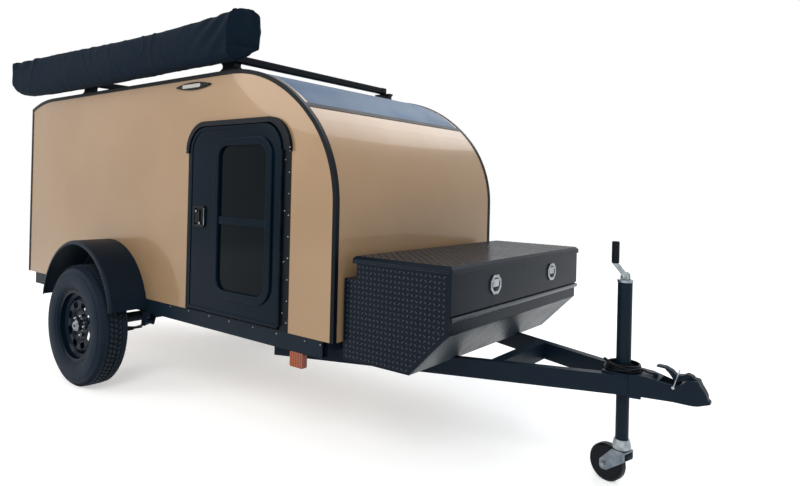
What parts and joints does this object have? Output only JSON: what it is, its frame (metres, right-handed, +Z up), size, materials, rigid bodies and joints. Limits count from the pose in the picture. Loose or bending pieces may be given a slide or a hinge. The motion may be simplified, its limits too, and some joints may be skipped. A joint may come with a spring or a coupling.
{
  "type": "teardrop trailer",
  "caption": "Small towed camping trailer with rounded front, side doors, roof bars with an awning bag, tongue toolbox, single axle and a wheeled jack.",
  "frame": {"origin": "ground level under the middle of the trailer's overall length and width", "axes": "+X towards the coupler, +Y to the trailer's left side, +Z up"},
  "size_m": [4.438, 1.792, 2.0244],
  "materials": {
    "body_paint": "glossy",
    "roof_paint": "glossy",
    "black_trim": "satin",
    "black_frame": "satin",
    "door_skin": "glossy",
    "tinted_glass": "clear",
    "tyre": "matte",
    "wheel_paint": "glossy",
    "bright_metal": "polished",
    "zinc": "satin",
    "tread_plate": "satin",
    "amber": "glossy",
    "red_lens": "glossy",
    "pale_lens": "glossy",
    "dark_plastic": "matte",
    "bag_cloth": "matte",
    "plywood": "matte",
    "bare_steel": "satin"
  },
  "bodies": {
    "trailer": {"side_rails": "black_frame", "cross_tubes": "black_frame", "tongue_rails": "black_frame", "tongue_brace": "black_frame", "coupler": "black_frame", "coupler_latch": "black_frame", "jack_tube": "black_frame", "jack_crank": "zinc", "crank_grip": "dark_plastic", "axle_beam": "black_frame", "leaf_springs": "black_frame", "spring_hangers": "black_frame", "fenders": "black_frame", "floor": "plywood", "wall_right": "body_paint", "wall_left": "body_paint", "front_panel": "body_paint", "roof_panel": "roof_paint", "rear_frame": "body_paint", "galley_bulkhead": "plywood", "seam_strip": "black_trim", "edge_trims": "black_trim", "door_frames": "black_trim", "drip_caps": "black_trim", "side_lamp_bezels": "dark_plastic", "side_lamp_lenses": "pale_lens", "side_markers": "amber", "tail_lamps": "red_lens", "toolbox_body": "tread_plate", "box_saddles": "tread_plate", "toolbox_latches": "bright_metal", "roof_bars": "black_trim", "bar_feet": "dark_plastic", "awning_bag": "bag_cloth", "lead_tube": "dark_plastic", "lead_coil": "dark_plastic", "lead_plug": "dark_plastic"},
    "wheel_left": {"tyre_left": "tyre", "rim_left": "wheel_paint", "hub_left": "bright_metal"},
    "wheel_right": {"tyre_right": "tyre", "rim_right": "wheel_paint", "hub_right": "bright_metal"},
    "jack_leg": {"jack_inner": "black_frame", "caster_collar": "zinc"},
    "caster_yoke": {"caster_fork": "bare_steel"},
    "caster_roller": {"caster_wheel": "dark_plastic"},
    "door_right": {"door_leaf_right": "door_skin", "window_rings_right": "door_skin", "door_glass_right": "tinted_glass", "door_latch_right": "dark_plastic"},
    "door_left": {"door_leaf_left": "door_skin", "window_rings_left": "door_skin", "door_glass_left": "tinted_glass", "door_latch_left": "dark_plastic"},
    "rear_hatch": {"hatch": "body_paint", "hatch_latch": "dark_plastic"},
    "box_lid": {"toolbox_lid": "tread_plate"}
  },
  "joints": [
    {"name": "wheel_left_spin", "type": "hinge", "parent": "trailer", "child": "wheel_left", "pos_m": [-0.909, 0.807, 0.344], "axis": [0, 1, 0], "continuous": true},
    {"name": "wheel_right_spin", "type": "hinge", "parent": "trailer", "child": "wheel_right", "pos_m": [-0.909, -0.807, 0.344], "axis": [0, 1, 0], "continuous": true},
    {"name": "jack_travel", "type": "slide", "parent": "trailer", "child": "jack_leg", "axis": [0, 0, 1], "range_m": [-0.09, 0.15]},
    {"name": "caster_swivel", "type": "hinge", "parent": "jack_leg", "child": "caster_yoke", "pos_m": [1.899, 0, 0.14], "axis": [0, 0, 1], "continuous": true},
    {"name": "caster_spin", "type": "hinge", "parent": "caster_yoke", "child": "caster_roller", "pos_m": [1.83911, 0.01605, 0.075], "axis": [-0.2588, -0.9659, 0], "continuous": true},
    {"name": "door_right_hinge", "type": "hinge", "parent": "trailer", "child": "door_right", "pos_m": [0.575, -0.6595, 1], "axis": [0, 0, 1], "range_deg": [0, 150]},
    {"name": "door_left_hinge", "type": "hinge", "parent": "trailer", "child": "door_left", "pos_m": [0.575, 0.6595, 1], "axis": [0, 0, -1], "range_deg": [0, 150]},
    {"name": "hatch_hinge", "type": "hinge", "parent": "trailer", "child": "rear_hatch", "pos_m": [-2.146, 0, 1.618], "axis": [0, 1, 0], "range_deg": [0, 88]},
    {"name": "box_lid_hinge", "type": "hinge", "parent": "trailer", "child": "box_lid", "pos_m": [0.984, 0, 0.86], "axis": [0, -1, 0], "range_deg": [0, 80]}
  ]
}
